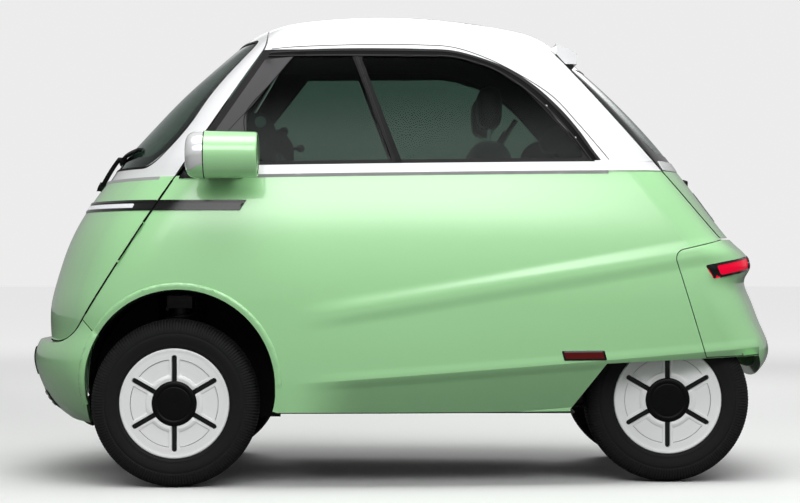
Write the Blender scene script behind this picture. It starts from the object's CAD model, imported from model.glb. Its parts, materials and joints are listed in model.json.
# %% [markdown]
# A small electric bubble car, dressed and lit in a studio. The solid model already gives every part its real
# place and size, so this lesson starts by loading it as a fixed frame. Everything built below is measured in
# metres in that same frame: +X is the nose, +Y the car's left side, +Z is up.

import json
import math

import bmesh
import bpy
from mathutils import Matrix, Vector
from mathutils.bvhtree import BVHTree
from mathutils.geometry import delaunay_2d_cdt


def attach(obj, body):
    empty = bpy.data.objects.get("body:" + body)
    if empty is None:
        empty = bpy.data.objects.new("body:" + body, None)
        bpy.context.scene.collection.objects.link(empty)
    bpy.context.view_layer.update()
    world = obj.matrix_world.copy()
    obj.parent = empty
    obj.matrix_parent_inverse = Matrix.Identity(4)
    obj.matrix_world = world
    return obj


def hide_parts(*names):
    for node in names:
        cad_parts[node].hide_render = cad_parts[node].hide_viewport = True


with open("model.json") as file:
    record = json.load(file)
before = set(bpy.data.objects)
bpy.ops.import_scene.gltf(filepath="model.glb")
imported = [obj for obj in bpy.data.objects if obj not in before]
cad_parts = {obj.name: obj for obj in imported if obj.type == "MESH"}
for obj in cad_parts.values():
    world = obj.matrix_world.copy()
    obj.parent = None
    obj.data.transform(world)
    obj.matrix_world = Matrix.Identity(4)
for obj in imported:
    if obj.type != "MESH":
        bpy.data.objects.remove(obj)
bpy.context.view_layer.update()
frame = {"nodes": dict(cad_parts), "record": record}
nodes = frame["nodes"]

# %% [markdown]
# The camera stands level at the car's left, almost eight metres away, with a long lens. A short lens close by
# would show both wheels as ovals and hide the roof behind the side of the car; the long one keeps every line
# of the side nearly true.

# %% Camera
camera_data = bpy.data.cameras.new("catalogue_camera")
camera_data.lens = 101.6
camera = bpy.data.objects.new("catalogue_camera", camera_data)
bpy.context.scene.collection.objects.link(camera)
camera.location = (0.008, 7.75, 0.742)
camera.rotation_euler = (math.radians(90), 0, math.radians(180))
bpy.context.scene.camera = camera
bpy.context.scene.view_settings.view_transform = "Standard"
print("camera at", tuple(round(c, 3) for c in camera.location))

# %% [markdown]
# Materials, the studio's air and its lamps are all built from shader nodes. They could be laid out by hand in
# the editor, but a written recipe is easier to repeat: one helper adds a node, sets its values and links it,
# all in one step.

# %% Helpers for materials and their nodes


def new_material(name, **sockets):
    """A material with one Principled shader, its constants set on the shader's own sockets."""
    made = bpy.data.materials.new(name)
    made.use_nodes = True
    shader = made.node_tree.nodes["Principled BSDF"]
    for socket, value in sockets.items():
        shader.inputs[socket.replace("_", " ")].default_value = value
    return made


def wire(tree, kind, links=(), at=(), **values):
    """Adds a node of that kind, sets its values, and links (from socket, to input).

    A value called in_Name goes to the input of that name, "at" gives values to inputs by their number,
    and any other value is a setting of the node itself.
    """
    made = tree.nodes.new("ShaderNode" + kind)
    for key, value in values.items():
        if key.startswith("in_"):
            made.inputs[key[3:].replace("_", " ")].default_value = value
        else:
            setattr(made, key, value)
    for number, value in dict(at).items():
        made.inputs[number].default_value = value
    for source, target in links:
        tree.links.new(source, made.inputs[target])
    return made


def seen_by_eye(tree):
    """1 for rays that show the studio itself: straight from the camera or through glass."""
    path = wire(tree, "LightPath")
    direct, through = path.outputs["Is Camera Ray"], path.outputs["Is Transmission Ray"]
    return wire(tree, "Math", [(direct, 0), (through, 1)], operation="MAXIMUM").outputs[0]


print("helpers for nodes are ready")

# %% [markdown]
# The floor and the air. To the eye both are one pale sweep, as rolled paper gives in a studio. A floor that
# is white for every ray would also light the car from below and wash out its dark sills, so the rays that
# only carry light find a dark floor. Far from the car the floor glows a little, which hides where it ends.

# %% Floor and air
PALE, SHADED = (0.78, 0.79, 0.78, 1), (0.15, 0.16, 0.15, 1)
FLOOR_HALF = 40
floor_data = bpy.data.meshes.new("studio_floor")
rim = [(-FLOOR_HALF, -FLOOR_HALF, 0), (FLOOR_HALF, -FLOOR_HALF, 0), (FLOOR_HALF, FLOOR_HALF, 0),
       (-FLOOR_HALF, FLOOR_HALF, 0)]
floor_data.from_pydata(rim, [], [(0, 1, 2, 3)])
pale_floor = new_material("pale_floor", Base_Color=PALE, Roughness=0.7, Emission_Color=(1, 1, 1, 1))
floor_data.materials.append(pale_floor)
floor = bpy.data.objects.new("studio_floor", floor_data)
bpy.context.scene.collection.objects.link(floor)
tree = pale_floor.node_tree
shader = tree.nodes["Principled BSDF"]
spot = wire(tree, "NewGeometry")
away = wire(tree, "VectorMath", [(spot.outputs["Position"], 0)], operation="LENGTH")
fade = wire(tree, "MapRange", [(away.outputs["Value"], "Value")], interpolation_type="SMOOTHSTEP",
            in_From_Min=1.9, in_From_Max=11.0, in_To_Min=0.0, in_To_Max=0.52)
tint = wire(tree, "Mix", [(seen_by_eye(tree), "Factor")], {6: SHADED, 7: PALE}, data_type="RGBA")
tree.links.new(tint.outputs[2], shader.inputs["Base Color"])
shown = wire(tree, "Math", [(fade.outputs["Result"], 0), (seen_by_eye(tree), 1)], operation="MULTIPLY")
tree.links.new(shown.outputs[0], shader.inputs["Emission Strength"])

world = bpy.data.worlds.new("studio_air")
bpy.context.scene.world = world
world.use_nodes = True
air = world.node_tree
background = air.nodes["Background"]
background.inputs["Color"].default_value = (1, 1, 1, 1)
pale = wire(air, "Mix", [(seen_by_eye(air), "Factor")], in_A=0.33, in_B=0.84)
air.links.new(pale.outputs["Result"], background.inputs["Strength"])
print("floor", 2 * FLOOR_HALF, "m wide; air set")

# %% [markdown]
# The lamps. Paint and glass show the lamps as reflections, and a bare rectangle would show as a hard-edged
# patch on the round roof. Real softboxes are bright in their middle and fade outwards, so each lamp's
# strength falls away from its middle here too.

# %% Three softboxes


def soft_lamp(name, place, aim, size, watts):
    """A rectangular softbox at place, turned to aim, bright in its middle and fading to its edges."""
    lamp = bpy.data.lights.new(name, "AREA")
    lamp.shape, lamp.size, lamp.size_y, lamp.energy = "RECTANGLE", size[0], size[1], watts
    lamp.use_nodes = True
    tree = lamp.node_tree
    where = wire(tree, "NewGeometry")
    split = wire(tree, "SeparateXYZ", [(where.outputs["Parametric"], 0)])
    falls = []
    for number, axis in enumerate(("X", "Y")):
        off = wire(tree, "Math", [(split.outputs[axis], 0)], {1: 0.5}, operation="SUBTRACT")
        reach = wire(tree, "Math", [(off.outputs[0], 0)], operation="ABSOLUTE")
        fall = wire(tree, "MapRange", [(reach.outputs[0], "Value")], interpolation_type="SMOOTHERSTEP",
                    in_From_Min=0.5, in_From_Max=0.05, in_To_Min=0.0, in_To_Max=1.6)
        falls.append((fall.outputs["Result"], number))
    both = wire(tree, "Math", falls, operation="MULTIPLY")
    tree.links.new(both.outputs[0], tree.nodes["Emission"].inputs["Strength"])
    made = bpy.data.objects.new(name, lamp)
    bpy.context.scene.collection.objects.link(made)
    made.location = place
    made.rotation_euler = (Vector(aim) - Vector(place)).to_track_quat("-Z", "Y").to_euler()


soft_lamp("overhead_box", (-0.3, 1.2, 5.0), (0, 0, 0.6), (9.0, 4.5), 270)
soft_lamp("side_box", (-0.6, 6.8, 4.9), (0, 0, 0.8), (15.0, 4.6), 440)
soft_lamp("back_box", (-0.6, -5.5, 3.4), (0, 0, 0.8), (6.0, 3.0), 110)
print("softboxes:", [lamp.name for lamp in bpy.data.lights])

# %% [markdown]
# Finishes. What several materials share is built once as a node group that puts out only colours, masks or
# normals, and each material then places the group with values of its own. The first, "soft variation", gives
# a slow change of tone, so that no surface is one flat colour.

# %% Node groups and slow variation
COLOUR_AND_MASK = [("Colour", "NodeSocketColor"), ("Mask", "NodeSocketFloat")]


def effect(name, inputs, outputs):
    """A new shader node group with its sockets; returns the tree, its input node and its output node."""
    tree = bpy.data.node_groups.new(name, "ShaderNodeTree")
    for socket, kind, value in inputs:
        made = tree.interface.new_socket(socket, in_out="INPUT", socket_type=kind)
        made.default_value = value
    for socket, kind in outputs:
        tree.interface.new_socket(socket, in_out="OUTPUT", socket_type=kind)
    return tree, tree.nodes.new("NodeGroupInput"), tree.nodes.new("NodeGroupOutput")


def build_soft_variation():
    inputs = [("Colour", "NodeSocketColor", (0.5, 0.5, 0.5, 1)), ("Scale", "NodeSocketFloat", 3.0),
              ("Amount", "NodeSocketFloat", 0.06)]
    tree, given, out = effect("soft variation", inputs, COLOUR_AND_MASK)
    place = wire(tree, "TexCoord")
    noise = wire(tree, "TexNoise", [(place.outputs["Object"], "Vector"), (given.outputs["Scale"], "Scale")],
                 in_Detail=4.0)
    centred = wire(tree, "Math", [(noise.outputs["Fac"], 0)], {1: 0.5}, operation="SUBTRACT")
    swing = wire(tree, "Math", [(centred.outputs[0], 0), (given.outputs["Amount"], 1)], operation="MULTIPLY")
    tone = wire(tree, "Math", [(swing.outputs[0], 0)], {1: 2.0, 2: 1.0}, operation="MULTIPLY_ADD")
    scaled = wire(tree, "VectorMath", [(given.outputs["Colour"], 0), (tone.outputs[0], "Scale")],
                  operation="SCALE")
    tree.links.new(scaled.outputs["Vector"], out.inputs["Colour"])
    tree.links.new(noise.outputs["Fac"], out.inputs["Mask"])
    return tree


VARIATION = build_soft_variation()
print("first shared effect:", VARIATION.name)

# %% [markdown]
# Grain and wear. "fine grain" gives the tiny bumps of moulded plastic, rubber or paint. They could be cut
# into the mesh, but bumps this small only show in how they catch the light. "edge wear" finds the sharp edges
# of a piece, where paint and plastic rub paler.

# %% Fine grain and edge wear


def build_fine_grain():
    inputs = [("Scale", "NodeSocketFloat", 900.0), ("Depth", "NodeSocketFloat", 0.2)]
    outputs = [("Normal", "NodeSocketVector"), ("Mask", "NodeSocketFloat")]
    tree, given, out = effect("fine grain", inputs, outputs)
    place = wire(tree, "TexCoord")
    cells = wire(tree, "TexVoronoi", [(place.outputs["Object"], "Vector"), (given.outputs["Scale"], "Scale")])
    noise = wire(tree, "TexNoise", [(place.outputs["Object"], "Vector"), (given.outputs["Scale"], "Scale")],
                 in_Detail=3.0)
    both = wire(tree, "Math", [(cells.outputs["Distance"], 0), (noise.outputs["Fac"], 1)], operation="ADD")
    bump = wire(tree, "Bump", [(both.outputs[0], "Height"), (given.outputs["Depth"], "Strength")],
                in_Distance=0.0006)
    tree.links.new(bump.outputs["Normal"], out.inputs["Normal"])
    tree.links.new(noise.outputs["Fac"], out.inputs["Mask"])
    return tree


def build_edge_wear():
    inputs = [("Colour", "NodeSocketColor", (0.5, 0.5, 0.5, 1)),
              ("Worn", "NodeSocketColor", (0.6, 0.6, 0.6, 1)),
              ("Amount", "NodeSocketFloat", 0.4), ("Scale", "NodeSocketFloat", 60.0)]
    tree, given, out = effect("edge wear", inputs, COLOUR_AND_MASK)
    shape = wire(tree, "NewGeometry")
    edges = wire(tree, "MapRange", [(shape.outputs["Pointiness"], "Value")], in_From_Min=0.52,
                 in_From_Max=0.60)
    place = wire(tree, "TexCoord")
    noise = wire(tree, "TexNoise", [(place.outputs["Object"], "Vector"), (given.outputs["Scale"], "Scale")],
                 in_Detail=5.0)
    broken = wire(tree, "Math", [(edges.outputs["Result"], 0), (noise.outputs["Fac"], 1)],
                  operation="MULTIPLY")
    mask = wire(tree, "Math", [(broken.outputs[0], 0), (given.outputs["Amount"], 1)], operation="MULTIPLY",
                use_clamp=True)
    tones = [(given.outputs["Colour"], 6), (given.outputs["Worn"], 7)]
    mixed = wire(tree, "Mix", [(mask.outputs[0], "Factor"), *tones], data_type="RGBA")
    tree.links.new(mixed.outputs[2], out.inputs["Colour"])
    tree.links.new(mask.outputs[0], out.inputs["Mask"])
    return tree


GRAIN, WEAR = build_fine_grain(), build_edge_wear()
print("effects for rubbed and grained surfaces:", GRAIN.name, "and", WEAR.name)

# %% [markdown]
# Dust and cloth. Dust gathers low down, near the road, so its mask fades out with height. Woven cloth is
# drawn as three sets of waves, one along each axis, so that threads show on a face whichever way it looks.

# %% Road dust and cloth weave


def build_road_dust():
    inputs = [("Colour", "NodeSocketColor", (0.1, 0.1, 0.1, 1)),
              ("Dust", "NodeSocketColor", (0.20, 0.19, 0.17, 1)),
              ("Top", "NodeSocketFloat", 0.35), ("Amount", "NodeSocketFloat", 0.25)]
    tree, given, out = effect("road dust", inputs, COLOUR_AND_MASK)
    place = wire(tree, "TexCoord")
    split = wire(tree, "SeparateXYZ", [(place.outputs["Object"], "Vector")])
    low = wire(tree, "MapRange", [(split.outputs["Z"], "Value"), (given.outputs["Top"], "From Min")],
               in_From_Max=0.0)
    noise = wire(tree, "TexNoise", [(place.outputs["Object"], "Vector")], in_Scale=18.0, in_Detail=6.0)
    patchy = wire(tree, "Math", [(low.outputs["Result"], 0), (noise.outputs["Fac"], 1)], operation="MULTIPLY")
    mask = wire(tree, "Math", [(patchy.outputs[0], 0), (given.outputs["Amount"], 1)], operation="MULTIPLY",
                use_clamp=True)
    tones = [(given.outputs["Colour"], 6), (given.outputs["Dust"], 7)]
    mixed = wire(tree, "Mix", [(mask.outputs[0], "Factor"), *tones], data_type="RGBA")
    tree.links.new(mixed.outputs[2], out.inputs["Colour"])
    tree.links.new(mask.outputs[0], out.inputs["Mask"])
    return tree


def build_cloth_weave():
    inputs = [("Colour", "NodeSocketColor", (0.1, 0.1, 0.1, 1)),
              ("Thread", "NodeSocketColor", (0.15, 0.15, 0.15, 1)),
              ("Threads", "NodeSocketFloat", 500.0), ("Depth", "NodeSocketFloat", 0.5)]
    outputs = [("Colour", "NodeSocketColor"), ("Normal", "NodeSocketVector")]
    tree, given, out = effect("cloth weave", inputs, outputs)
    place = wire(tree, "TexCoord")
    threads = [(place.outputs["Object"], "Vector"), (given.outputs["Threads"], "Scale")]
    waves = []
    for axis in ("X", "Y", "Z"):
        wave = wire(tree, "TexWave", threads, bands_direction=axis, in_Distortion=1.2, in_Detail=1.0)
        waves.append(wave)
    pair = wire(tree, "Math", [(waves[0].outputs["Fac"], 0), (waves[1].outputs["Fac"], 1)],
                operation="MAXIMUM")
    weave = wire(tree, "Math", [(pair.outputs[0], 0), (waves[2].outputs["Fac"], 1)], operation="MULTIPLY")
    bump = wire(tree, "Bump", [(weave.outputs[0], "Height"), (given.outputs["Depth"], "Strength")],
                in_Distance=0.0008)
    tones = [(given.outputs["Colour"], 6), (given.outputs["Thread"], 7)]
    mixed = wire(tree, "Mix", [(weave.outputs[0], "Factor"), *tones], data_type="RGBA")
    tree.links.new(mixed.outputs[2], out.inputs["Colour"])
    tree.links.new(bump.outputs["Normal"], out.inputs["Normal"])
    return tree


DUST, WEAVE = build_road_dust(), build_cloth_weave()
print("shared effects:", [tree.name for tree in bpy.data.node_groups])

# %% [markdown]
# How a finish is mixed. The colour passes through the shared effects in the order in which a real surface
# gets them: its own slow variation first, then rubbed edges, then dust on top. Fine grain only bends the
# normal, so it is linked on its own.

# %% Mixing a finish


def place_effect(tree, group, links=(), **values):
    """One shared effect placed in a material with its own values."""
    made = tree.nodes.new("ShaderNodeGroup")
    made.node_tree = group
    for key, value in values.items():
        made.inputs[key].default_value = value
    for source, target in links:
        tree.links.new(source, made.inputs[target])
    return made


def make_finish(name, colour, rough, grain=None, wear=None, dust=None, vary=(3.0, 0.05), **sockets):
    """A finish: colour with slow variation, then worn edges, then dust, over fine grain."""
    made = new_material(name, Roughness=rough, **sockets)
    tree, shader = made.node_tree, made.node_tree.nodes["Principled BSDF"]
    tone = place_effect(tree, VARIATION, Colour=(*colour, 1), Scale=vary[0], Amount=vary[1])
    last = tone.outputs["Colour"]
    if wear:
        worn = place_effect(tree, WEAR, [(last, "Colour")], Worn=(*wear[0], 1), Amount=wear[1])
        last = worn.outputs["Colour"]
    if dust:
        dusty = place_effect(tree, DUST, [(last, "Colour")], Top=dust[0], Amount=dust[1])
        last = dusty.outputs["Colour"]
    tree.links.new(last, shader.inputs["Base Color"])
    spread = wire(tree, "MapRange", [(tone.outputs["Mask"], "Value")], in_To_Min=rough * 0.85,
                  in_To_Max=min(1.0, rough * 1.15))
    tree.links.new(spread.outputs["Result"], shader.inputs["Roughness"])
    if grain:
        bumps = place_effect(tree, GRAIN, Scale=grain[0], Depth=grain[1])
        tree.links.new(bumps.outputs["Normal"], shader.inputs["Normal"])
    return made


print("finishes can be mixed")

# %% [markdown]
# Each finish is a row of numbers: its colour, how rough it is, and how much of each shared effect it takes.
# Paint has a clear coat over a soft base; moulded plastic has grain and pale rubbed edges; rubber and the
# underside carry dust.

# %% The finishes, from one table
finish = {}
PLAIN = [
    # name, colour, roughness, grain, wear, dust, extra sockets
    ("painted_white", (0.84, 0.85, 0.86), 0.35, (260, 0.02), None, None,
     dict(Coat_Weight=1.0, Coat_Roughness=0.05)),
    ("black_trim", (0.006, 0.006, 0.0065), 0.62, (1100, 0.35), ((0.02, 0.02, 0.02), 0.4), None,
     dict(Specular_IOR_Level=0.15)),
    ("dark_grey_trim", (0.020, 0.019, 0.020), 0.62, (1100, 0.25), ((0.05, 0.05, 0.05), 0.3), None,
     dict(Specular_IOR_Level=0.10)),
    ("pillar_grey", (0.022, 0.0215, 0.022), 0.6, (1400, 0.2), None, None, dict(Specular_IOR_Level=0.2)),
    ("gloss_black", (0.006, 0.006, 0.0065), 0.16, (400, 0.02), None, None,
     dict(Specular_IOR_Level=0.3, Coat_Weight=0.2, Coat_Roughness=0.06)),
    ("pillar_cover", (0.060, 0.057, 0.060), 0.62, (1400, 0.2), None, None, dict(Specular_IOR_Level=0.3)),
    ("belt_shade", (0.42, 0.42, 0.43), 0.4, (260, 0.02), None, None, {}),
    ("cap_black", (0.003, 0.003, 0.0033), 0.34, (900, 0.08), None, None, dict(Specular_IOR_Level=0.12)),
    ("frit_black", (0.005, 0.005, 0.0055), 0.4, (1500, 0.1), None, None, dict(Specular_IOR_Level=0.2)),
    ("seal_rubber", (0.004, 0.004, 0.004), 0.62, (900, 0.3), None, None, dict(Specular_IOR_Level=0.08)),
    ("tyre_rubber", (0.0085, 0.0085, 0.009), 0.60, (700, 0.25), ((0.05, 0.05, 0.05), 0.7), (0.55, 0.02),
     dict(Specular_IOR_Level=0.15)),
    ("wheel_white", (0.90, 0.905, 0.91), 0.30, (500, 0.02), None, (0.30, 0.05),
     dict(Coat_Weight=0.7, Coat_Roughness=0.08)),
    ("steel_black", (0.010, 0.010, 0.0105), 0.5, (600, 0.3), ((0.05, 0.045, 0.04), 0.6), (0.5, 0.2), {}),
    ("cast_metal", (0.40, 0.41, 0.42), 0.45, (500, 0.4), ((0.6, 0.6, 0.6), 0.6), (0.5, 0.4),
     dict(Metallic=0.9)),
    ("spring_steel", (0.03, 0.03, 0.032), 0.4, (500, 0.1), ((0.2, 0.2, 0.2), 0.5), None, dict(Metallic=0.5)),
    ("brake_iron", (0.30, 0.29, 0.28), 0.38, (800, 0.2), None, None, dict(Metallic=1.0)),
    ("chrome", (0.85, 0.86, 0.87), 0.06, None, None, None, dict(Metallic=1.0)),
    ("mirror", (0.88, 0.89, 0.90), 0.02, None, None, None, dict(Metallic=1.0)),
    ("roof_cloth", (0.022, 0.022, 0.024), 0.85, (1800, 0.8), None, None, dict(Sheen_Weight=0.2)),
    ("carpet", (0.020, 0.020, 0.021), 0.95, (1500, 1.0), None, None, dict(Sheen_Weight=0.3)),
    ("headliner", (0.030, 0.030, 0.032), 0.9, (1500, 0.5), None, None, {}),
    ("speaker_grey", (0.30, 0.29, 0.30), 0.6, (2600, 0.8), None, None, {}),
    ("lamp_white", (0.80, 0.81, 0.84), 0.12, None, None, None, dict(Coat_Weight=1.0, Coat_Roughness=0.03)),
]
for name, colour, rough, grain, wear, dust, extra in PLAIN:
    finish[name] = make_finish(name, colour, rough, grain, wear, dust, **extra)
print("plain finishes:", len(finish))

# %% [markdown]
# The green paint carries the two soft creases of the flank. On the real panels they are pressed into the
# metal: above the upper crease the side leans to the sky, below it the side leans to the ground. Here a
# height drawn from the panel's own x and z bends the shading normal, which leaves the solid panel as it is.

# %% Green paint with its pressed creases


def crease_height(tree, split, rise, level, half, strength):
    """Height that falls away to both sides of the line z = level + rise * x, in metres."""
    line = wire(tree, "Math", [(split.outputs["X"], 0)], {1: rise, 2: level}, operation="MULTIPLY_ADD")
    off = wire(tree, "Math", [(split.outputs["Z"], 0), (line.outputs[0], 1)], operation="SUBTRACT")
    size = wire(tree, "Math", [(off.outputs[0], 0)], operation="ABSOLUTE")
    near = wire(tree, "MapRange", [(size.outputs[0], "Value")], interpolation_type="SMOOTHERSTEP",
                in_From_Min=half, in_From_Max=0.0, in_To_Max=strength)
    return near.outputs["Result"]


def build_green_paint():
    made = new_material("painted_green", Roughness=0.32, Coat_Weight=1.0, Coat_Roughness=0.035)
    tree, shader = made.node_tree, made.node_tree.nodes["Principled BSDF"]
    tone = place_effect(tree, VARIATION, Colour=(0.40, 0.765, 0.375, 1), Scale=1.6, Amount=0.03)
    dusty = place_effect(tree, DUST, [(tone.outputs["Colour"], "Colour")], Dust=(0.30, 0.42, 0.27, 1),
                         Top=0.33, Amount=0.25)
    tree.links.new(dusty.outputs["Colour"], shader.inputs["Base Color"])
    place = wire(tree, "TexCoord")
    split = wire(tree, "SeparateXYZ", [(place.outputs["Object"], "Vector")])
    upper = crease_height(tree, split, -0.1645, 0.5835, 0.055, 1.0)
    sill = crease_height(tree, split, -0.072, 0.352, 0.035, 0.5)
    tuck = wire(tree, "Math", [(split.outputs["X"], 0)], {1: 0.072, 2: 0.648}, operation="MULTIPLY_ADD")
    fall = wire(tree, "Math", [(split.outputs["Z"], 0), (tuck.outputs[0], 1)], operation="ADD")
    turned = wire(tree, "MapRange", [(fall.outputs[0], "Value")],
                  in_From_Min=0.86, in_From_Max=1.0, in_To_Min=-14.0, in_To_Max=0.0)
    side = wire(tree, "Math", [(split.outputs["Y"], 0)], operation="ABSOLUTE")
    flank = wire(tree, "Math", [(side.outputs[0], 0)], {1: 0.45}, operation="GREATER_THAN")
    ahead = wire(tree, "MapRange", [(split.outputs["X"], "Value")], interpolation_type="SMOOTHSTEP",
                 in_From_Min=0.36, in_From_Max=0.12)
    pair = wire(tree, "Math", [(upper, 0), (sill, 1)], operation="ADD")
    both = wire(tree, "Math", [(pair.outputs[0], 0), (turned.outputs["Result"], 1)], operation="ADD")
    kept = wire(tree, "Math", [(both.outputs[0], 0), (flank.outputs[0], 1)], operation="MULTIPLY")
    faded = wire(tree, "Math", [(kept.outputs[0], 0), (ahead.outputs["Result"], 1)], operation="MULTIPLY")
    peel = place_effect(tree, GRAIN, Scale=150.0, Depth=0.015)
    bump = wire(tree, "Bump", [(faded.outputs[0], "Height"), (peel.outputs["Normal"], "Normal")],
                in_Strength=1.0, in_Distance=0.006)
    tree.links.new(bump.outputs["Normal"], shader.inputs["Normal"])
    coat = wire(tree, "Bump", [(faded.outputs[0], "Height")], in_Strength=1.0, in_Distance=0.006)
    tree.links.new(coat.outputs["Normal"], shader.inputs["Coat Normal"])
    return made


finish["painted_green"] = build_green_paint()
print("green paint mixed")

# %% [markdown]
# Glass, lamp lenses and cloth. Glass keeps plain constants, so that any program can show it: real tinted
# glass takes its colour from the whole pane, not from its surface. A lamp lens is moulded with fine upright
# ribs behind a smooth face, and a wave texture gives both their tone and their relief. The bench's cloth
# shows its threads, and its headrests have a smoother vinyl.

# %% Glass, lenses, cloth and vinyl


def build_lens(name, colour, glow, ribs):
    """A lamp lens with fine upright ribs behind its smooth face."""
    made = new_material(name, Roughness=0.25, Specular_IOR_Level=0.12)
    tree, shader = made.node_tree, made.node_tree.nodes["Principled BSDF"]
    place = wire(tree, "TexCoord")
    wave = wire(tree, "TexWave", [(place.outputs["Object"], "Vector")], in_Scale=ribs, in_Distortion=0.3)
    shaded = tuple(c * 0.55 for c in colour)
    mixed = wire(tree, "Mix", [(wave.outputs["Fac"], "Factor")], {6: (*shaded, 1), 7: (*colour, 1)},
                 data_type="RGBA")
    tree.links.new(mixed.outputs[2], shader.inputs["Base Color"])
    bump = wire(tree, "Bump", [(wave.outputs["Fac"], "Height")], in_Strength=0.3, in_Distance=0.0006)
    tree.links.new(bump.outputs["Normal"], shader.inputs["Normal"])
    if glow:
        shader.inputs["Emission Color"].default_value = (*colour, 1)
        shader.inputs["Emission Strength"].default_value = glow
    return made


def build_cloth(name, colour, thread, rough, threads):
    made = new_material(name, Roughness=rough, Sheen_Weight=0.35, Sheen_Roughness=0.5)
    tree, shader = made.node_tree, made.node_tree.nodes["Principled BSDF"]
    tone = place_effect(tree, VARIATION, Colour=(*colour, 1), Scale=6.0, Amount=0.10)
    weave = place_effect(tree, WEAVE, [(tone.outputs["Colour"], "Colour")], Thread=(*thread, 1),
                         Threads=threads, Depth=0.7)
    tree.links.new(weave.outputs["Colour"], shader.inputs["Base Color"])
    tree.links.new(weave.outputs["Normal"], shader.inputs["Normal"])
    return made


finish["glass_tinted"] = new_material("glass_tinted", Base_Color=(0.175, 0.25, 0.215, 1), Roughness=0.0,
                                      Transmission_Weight=1.0, IOR=1.16)
finish["red_lens"] = build_lens("red_lens", (0.85, 0.001, 0.035), 0.5, 90.0)
finish["marker_red"] = build_lens("marker_red", (0.16, 0.012, 0.012), 0.0, 140.0)
finish["light_strip"] = build_lens("light_strip", (0.86, 0.88, 0.90), 0.25, 120.0)
finish["seat_cloth"] = build_cloth("seat_cloth", (0.030, 0.030, 0.032), (0.055, 0.055, 0.060), 0.85, 420.0)
finish["seat_vinyl"] = make_finish("seat_vinyl", (0.022, 0.022, 0.024), 0.45, (700, 0.5),
                                   ((0.05, 0.05, 0.05), 0.4))
finish["clear_lens"] = make_finish("clear_lens", (0.90, 0.91, 0.92), 0.14, (300, 0.02), Metallic=0.45,
                                   Coat_Weight=1.0)
print("all finishes:", len(finish))

# %% [markdown]
# The solid model names only its main materials, each in a slot. A finer finish made here says which of those
# slots it belongs to, and every solid part that stays in sight gets the finish of its own slot.

# %% Finishes to slots and parts
for part in frame["record"].get("subparts", []):
    nodes[part["node"]].data.materials.clear()
    nodes[part["node"]].data.materials.append(finish[part["material_slot"]])

# %% [markdown]
# Tools for making pieces. "piece" turns points and faces into an object that rides on a body and takes a
# finish. "spun" turns a profile about a line, as a lathe would, and suits everything on the wheels. Both take
# points rather than ready-made shapes, because the wheels and lamps need exact sections.

# %% Pieces and spun shapes
MM = 0.001


def piece(name, points, faces, material, body="body", hidden=(), marks=None, smooth=50, other=()):
    """An object made of these points (in metres) and faces; marks gives a material index per face."""
    mesh = bpy.data.meshes.new(name)
    mesh.from_pydata([tuple(p) for p in points], [], faces)
    for used in (material, *other):
        mesh.materials.append(finish[used])
    if marks:
        mesh.polygons.foreach_set("material_index", marks)
    made_up = bmesh.new()
    made_up.from_mesh(mesh)
    bmesh.ops.recalc_face_normals(made_up, faces=made_up.faces)
    made_up.to_mesh(mesh)
    made_up.free()
    mesh.polygons.foreach_set("use_smooth", [True] * len(mesh.polygons))
    mesh.set_sharp_from_angle(angle=math.radians(smooth))
    made = bpy.data.objects.new(name, mesh)
    bpy.context.scene.collection.objects.link(made)
    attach(made, body)
    if hidden:
        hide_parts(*hidden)
    return made


def spun(profile, steps, closed=True):
    """Points and faces of a profile of (radius, along) in mm spun about the local Y axis."""
    points, faces, count = [], [], len(profile)
    for k in range(steps):
        angle = 2 * math.pi * k / steps
        for radius, along in profile:
            points.append(Vector((radius * math.cos(angle), along, radius * math.sin(angle))) * MM)
    for k in range(steps):
        one, two = k * count, (k + 1) % steps * count
        for j in range(count if closed else count - 1):
            nxt = (j + 1) % count
            faces.append((one + j, one + nxt, two + nxt, two + j))
    return points, faces


print("piece and spun are ready")

# %% [markdown]
# Outlines. Most trim on a car is a flat shape with rounded corners, or a smooth line of even width. "rounded"
# softens the corners of an outline, "curve through" draws a smooth line through a few points, and "straight"
# cuts the sides of an outline short, so that it can bend over the car's skin later.

# %% Outlines and smooth lines


def rounded(profile, radius, cuts=4):
    """A closed outline with each corner of (a, b) or (a, b, own radius) rounded."""
    out, count = [], len(profile)
    for k in range(count):
        here = Vector(profile[k][:2])
        size = profile[k][2] if len(profile[k]) > 2 else radius
        before, after = Vector(profile[k - 1][:2]), Vector(profile[(k + 1) % count][:2])
        back, ahead = (before - here), (after - here)
        reach = min(size, back.length * 0.49, ahead.length * 0.49)
        if reach < 1e-6:
            out.append(tuple(here))
            continue
        a, b = here + back.normalized() * reach, here + ahead.normalized() * reach
        for j in range(cuts + 1):
            t = j / cuts
            out.append(tuple(a * (1 - t) ** 2 + here * 2 * t * (1 - t) + b * t**2))
    return out


def curve_through(points, step=8.0):
    """A smooth line through the points, as even short steps."""
    dense, last = [], len(points) - 1
    for k in range(last):
        p0, p1, p2, p3 = points[max(k - 1, 0)], points[k], points[k + 1], points[min(k + 2, last)]
        gap = math.dist(p1[:2], p2[:2])
        cuts = max(1, int(round(gap / step)))
        for j in range(cuts):
            t = j / cuts
            at = []
            for a, b, c, d in zip(p0, p1, p2, p3):
                twice = 2 * b + (c - a) * t + (2 * a - 5 * b + 4 * c - d) * t**2
                twice += (3 * b - a - 3 * c + d) * t**3
                at.append(0.5 * twice)
            dense.append(tuple(at))
    return dense + [tuple(points[-1])]


def straight(points, step=8.0):
    """A closed outline with its straight sides cut into short steps."""
    out, count = [], len(points)
    for k in range(count):
        a, b = points[k], points[(k + 1) % count]
        cuts = max(1, int(math.dist(a[:2], b[:2]) / step))
        out += [tuple(p + (q - p) * j / cuts for p, q in zip(a[:2], b[:2])) for j in range(cuts)]
    return out


print("outline tools are ready")

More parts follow.
